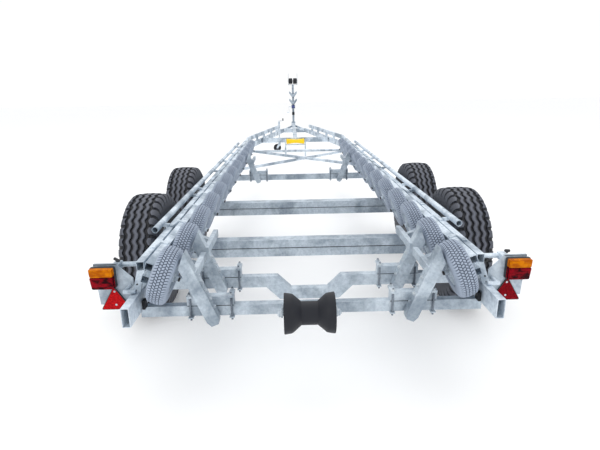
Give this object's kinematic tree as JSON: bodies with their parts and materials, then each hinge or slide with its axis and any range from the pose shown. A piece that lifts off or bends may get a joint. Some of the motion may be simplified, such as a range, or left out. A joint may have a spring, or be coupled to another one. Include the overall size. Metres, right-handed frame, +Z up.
{
  "type": "boat_trailer",
  "caption": "Galvanised boat trailer with two road axles, leaning rows of grey support wheels, keel and bow rollers, winch post and jockey wheel",
  "frame": {"origin": "middle of the bounding box in plan, on the ground", "axes": "+X to the trailer's right, +Y forward to the towing eye, +Z up"},
  "size_m": [2.5, 12.637, 2.0099],
  "materials": {
    "galvanised_steel": "hot-dip galvanised, matt with a faint spangle",
    "bright_steel": "zinc plated tube",
    "black_tyre": "matt black rubber on a galvanised rim",
    "grey_tyre": "matt non-marking grey rubber",
    "dark_rubber": "matt black rubber",
    "yellow_plastic": "smooth moulded roller"
  },
  "bodies": {
    "chassis": {"left_main_rail": "galvanised_steel", "left_top_rail": "galvanised_steel", "left_wheel_bunk": "galvanised_steel", "left_side_guard": "galvanised_steel", "right_main_rail": "galvanised_steel", "right_top_rail": "galvanised_steel", "right_wheel_bunk": "galvanised_steel", "right_side_guard": "galvanised_steel", "rear_cross_beam": "galvanised_steel", "dropped_cross_beam": "galvanised_steel", "front_cross_beam": "galvanised_steel", "rear_axle": "galvanised_steel", "front_axle": "galvanised_steel", "diagonal_brace": "galvanised_steel", "nose_cross_tube": "galvanised_steel", "drawbar": "galvanised_steel", "towing_eye": "galvanised_steel", "bow_post": "galvanised_steel", "rear_bunk_struts": "galvanised_steel", "mid_bunk_struts": "galvanised_steel", "front_bunk_struts": "galvanised_steel", "left_light_board": "galvanised_steel", "right_light_board": "galvanised_steel"},
    "left_rear_wheel": {"left_rear_wheel": "black_tyre"},
    "right_rear_wheel": {"right_rear_wheel": "black_tyre"},
    "left_front_wheel": {"left_front_wheel": "black_tyre"},
    "right_front_wheel": {"right_front_wheel": "black_tyre"},
    "left_bunk_wheel_01": {"left_bunk_wheel_01": "grey_tyre"},
    "left_bunk_wheel_02": {"left_bunk_wheel_02": "grey_tyre"},
    "left_bunk_wheel_03": {"left_bunk_wheel_03": "grey_tyre"},
    "left_bunk_wheel_04": {"left_bunk_wheel_04": "grey_tyre"},
    "left_bunk_wheel_05": {"left_bunk_wheel_05": "grey_tyre"},
    "left_bunk_wheel_06": {"left_bunk_wheel_06": "grey_tyre"},
    "left_bunk_wheel_07": {"left_bunk_wheel_07": "grey_tyre"},
    "left_bunk_wheel_08": {"left_bunk_wheel_08": "grey_tyre"},
    "left_bunk_wheel_09": {"left_bunk_wheel_09": "grey_tyre"},
    "left_bunk_wheel_10": {"left_bunk_wheel_10": "grey_tyre"},
    "left_bunk_wheel_11": {"left_bunk_wheel_11": "grey_tyre"},
    "left_bunk_wheel_12": {"left_bunk_wheel_12": "grey_tyre"},
    "left_bunk_wheel_13": {"left_bunk_wheel_13": "grey_tyre"},
    "right_bunk_wheel_01": {"right_bunk_wheel_01": "grey_tyre"},
    "right_bunk_wheel_02": {"right_bunk_wheel_02": "grey_tyre"},
    "right_bunk_wheel_03": {"right_bunk_wheel_03": "grey_tyre"},
    "right_bunk_wheel_04": {"right_bunk_wheel_04": "grey_tyre"},
    "right_bunk_wheel_05": {"right_bunk_wheel_05": "grey_tyre"},
    "right_bunk_wheel_06": {"right_bunk_wheel_06": "grey_tyre"},
    "right_bunk_wheel_07": {"right_bunk_wheel_07": "grey_tyre"},
    "right_bunk_wheel_08": {"right_bunk_wheel_08": "grey_tyre"},
    "right_bunk_wheel_09": {"right_bunk_wheel_09": "grey_tyre"},
    "right_bunk_wheel_10": {"right_bunk_wheel_10": "grey_tyre"},
    "right_bunk_wheel_11": {"right_bunk_wheel_11": "grey_tyre"},
    "right_bunk_wheel_12": {"right_bunk_wheel_12": "grey_tyre"},
    "right_bunk_wheel_13": {"right_bunk_wheel_13": "grey_tyre"},
    "keel_roller": {"keel_roller": "dark_rubber"},
    "nose_roller": {"nose_roller": "yellow_plastic"},
    "bow_rollers": {"bow_rollers": "dark_rubber"},
    "winch_drum": {"winch_drum": "galvanised_steel"},
    "jockey_leg": {"jockey_leg": "bright_steel"},
    "jockey_fork": {"jockey_fork": "galvanised_steel"},
    "jockey_wheel": {"jockey_wheel": "dark_rubber"}
  },
  "joints": [
    {"name": "left_rear_wheel_spin", "type": "hinge", "parent": "chassis", "child": "left_rear_wheel", "pos_m": [-1.124, -5.0285, 0.4225], "axis": [1, 0, 0], "continuous": true},
    {"name": "right_rear_wheel_spin", "type": "hinge", "parent": "chassis", "child": "right_rear_wheel", "pos_m": [1.124, -5.0285, 0.4225], "axis": [1, 0, 0], "continuous": true},
    {"name": "left_front_wheel_spin", "type": "hinge", "parent": "chassis", "child": "left_front_wheel", "pos_m": [-1.124, -3.8735, 0.4225], "axis": [1, 0, 0], "continuous": true},
    {"name": "right_front_wheel_spin", "type": "hinge", "parent": "chassis", "child": "right_front_wheel", "pos_m": [1.124, -3.8735, 0.4225], "axis": [1, 0, 0], "continuous": true},
    {"name": "left_bunk_wheel_01_spin", "type": "hinge", "parent": "chassis", "child": "left_bunk_wheel_01", "pos_m": [-0.742, -6.0815, 0.663], "axis": [-0.9336, 0, 0.3584], "continuous": true},
    {"name": "left_bunk_wheel_02_spin", "type": "hinge", "parent": "chassis", "child": "left_bunk_wheel_02", "pos_m": [-0.742, -5.6685, 0.663], "axis": [-0.9336, 0, 0.3584], "continuous": true},
    {"name": "left_bunk_wheel_03_spin", "type": "hinge", "parent": "chassis", "child": "left_bunk_wheel_03", "pos_m": [-0.742, -5.2555, 0.663], "axis": [-0.9336, 0, 0.3584], "continuous": true},
    {"name": "left_bunk_wheel_04_spin", "type": "hinge", "parent": "chassis", "child": "left_bunk_wheel_04", "pos_m": [-0.742, -4.8425, 0.663], "axis": [-0.9336, 0, 0.3584], "continuous": true},
    {"name": "left_bunk_wheel_05_spin", "type": "hinge", "parent": "chassis", "child": "left_bunk_wheel_05", "pos_m": [-0.742, -4.4295, 0.663], "axis": [-0.9336, 0, 0.3584], "continuous": true},
    {"name": "left_bunk_wheel_06_spin", "type": "hinge", "parent": "chassis", "child": "left_bunk_wheel_06", "pos_m": [-0.742, -4.0165, 0.663], "axis": [-0.9336, 0, 0.3584], "continuous": true},
    {"name": "left_bunk_wheel_07_spin", "type": "hinge", "parent": "chassis", "child": "left_bunk_wheel_07", "pos_m": [-0.742, -3.6035, 0.663], "axis": [-0.9336, 0, 0.3584], "continuous": true},
    {"name": "left_bunk_wheel_08_spin", "type": "hinge", "parent": "chassis", "child": "left_bunk_wheel_08", "pos_m": [-0.742, -3.1905, 0.663], "axis": [-0.9336, 0, 0.3584], "continuous": true},
    {"name": "left_bunk_wheel_09_spin", "type": "hinge", "parent": "chassis", "child": "left_bunk_wheel_09", "pos_m": [-0.742, -2.7775, 0.663], "axis": [-0.9336, 0, 0.3584], "continuous": true},
    {"name": "left_bunk_wheel_10_spin", "type": "hinge", "parent": "chassis", "child": "left_bunk_wheel_10", "pos_m": [-0.742, -2.3645, 0.663], "axis": [-0.9336, 0, 0.3584], "continuous": true},
    {"name": "left_bunk_wheel_11_spin", "type": "hinge", "parent": "chassis", "child": "left_bunk_wheel_11", "pos_m": [-0.742, -1.9515, 0.663], "axis": [-0.9336, 0, 0.3584], "continuous": true},
    {"name": "left_bunk_wheel_12_spin", "type": "hinge", "parent": "chassis", "child": "left_bunk_wheel_12", "pos_m": [-0.742, -1.5385, 0.663], "axis": [-0.9336, 0, 0.3584], "continuous": true},
    {"name": "left_bunk_wheel_13_spin", "type": "hinge", "parent": "chassis", "child": "left_bunk_wheel_13", "pos_m": [-0.742, -1.1255, 0.663], "axis": [-0.9336, 0, 0.3584], "continuous": true},
    {"name": "right_bunk_wheel_01_spin", "type": "hinge", "parent": "chassis", "child": "right_bunk_wheel_01", "pos_m": [0.742, -6.0815, 0.663], "axis": [0.9336, 0, 0.3584], "continuous": true},
    {"name": "right_bunk_wheel_02_spin", "type": "hinge", "parent": "chassis", "child": "right_bunk_wheel_02", "pos_m": [0.742, -5.6685, 0.663], "axis": [0.9336, 0, 0.3584], "continuous": true},
    {"name": "right_bunk_wheel_03_spin", "type": "hinge", "parent": "chassis", "child": "right_bunk_wheel_03", "pos_m": [0.742, -5.2555, 0.663], "axis": [0.9336, 0, 0.3584], "continuous": true},
    {"name": "right_bunk_wheel_04_spin", "type": "hinge", "parent": "chassis", "child": "right_bunk_wheel_04", "pos_m": [0.742, -4.8425, 0.663], "axis": [0.9336, 0, 0.3584], "continuous": true},
    {"name": "right_bunk_wheel_05_spin", "type": "hinge", "parent": "chassis", "child": "right_bunk_wheel_05", "pos_m": [0.742, -4.4295, 0.663], "axis": [0.9336, 0, 0.3584], "continuous": true},
    {"name": "right_bunk_wheel_06_spin", "type": "hinge", "parent": "chassis", "child": "right_bunk_wheel_06", "pos_m": [0.742, -4.0165, 0.663], "axis": [0.9336, 0, 0.3584], "continuous": true},
    {"name": "right_bunk_wheel_07_spin", "type": "hinge", "parent": "chassis", "child": "right_bunk_wheel_07", "pos_m": [0.742, -3.6035, 0.663], "axis": [0.9336, 0, 0.3584], "continuous": true},
    {"name": "right_bunk_wheel_08_spin", "type": "hinge", "parent": "chassis", "child": "right_bunk_wheel_08", "pos_m": [0.742, -3.1905, 0.663], "axis": [0.9336, 0, 0.3584], "continuous": true},
    {"name": "right_bunk_wheel_09_spin", "type": "hinge", "parent": "chassis", "child": "right_bunk_wheel_09", "pos_m": [0.742, -2.7775, 0.663], "axis": [0.9336, 0, 0.3584], "continuous": true},
    {"name": "right_bunk_wheel_10_spin", "type": "hinge", "parent": "chassis", "child": "right_bunk_wheel_10", "pos_m": [0.742, -2.3645, 0.663], "axis": [0.9336, 0, 0.3584], "continuous": true},
    {"name": "right_bunk_wheel_11_spin", "type": "hinge", "parent": "chassis", "child": "right_bunk_wheel_11", "pos_m": [0.742, -1.9515, 0.663], "axis": [0.9336, 0, 0.3584], "continuous": true},
    {"name": "right_bunk_wheel_12_spin", "type": "hinge", "parent": "chassis", "child": "right_bunk_wheel_12", "pos_m": [0.742, -1.5385, 0.663], "axis": [0.9336, 0, 0.3584], "continuous": true},
    {"name": "right_bunk_wheel_13_spin", "type": "hinge", "parent": "chassis", "child": "right_bunk_wheel_13", "pos_m": [0.742, -1.1255, 0.663], "axis": [0.9336, 0, 0.3584], "continuous": true},
    {"name": "keel_roller_spin", "type": "hinge", "parent": "chassis", "child": "keel_roller", "pos_m": [-0.02, -6.2175, 0.503], "axis": [1, 0, 0], "continuous": true},
    {"name": "nose_roller_spin", "type": "hinge", "parent": "chassis", "child": "nose_roller", "pos_m": [0, 1.1485, 0.528], "axis": [1, 0, 0], "continuous": true},
    {"name": "bow_rollers_spin", "type": "hinge", "parent": "chassis", "child": "bow_rollers", "pos_m": [0, 5.7785, 1.8], "axis": [1, 0, 0], "continuous": true},
    {"name": "winch_drum_spin", "type": "hinge", "parent": "chassis", "child": "winch_drum", "pos_m": [0, 5.7535, 1.062], "axis": [1, 0, 0], "continuous": true},
    {"name": "jockey_leg_slide", "type": "slide", "parent": "chassis", "child": "jockey_leg", "axis": [0, 0, 1], "range_m": [-0.03, 0.18]},
    {"name": "jockey_fork_swivel", "type": "hinge", "parent": "jockey_leg", "child": "jockey_fork", "pos_m": [-0.392, 3.6335, 0.214], "axis": [0, 0, 1], "continuous": true},
    {"name": "jockey_wheel_spin", "type": "hinge", "parent": "jockey_fork", "child": "jockey_wheel", "pos_m": [-0.452, 3.6335, 0.1], "axis": [0, 1, 0], "continuous": true}
  ]
}
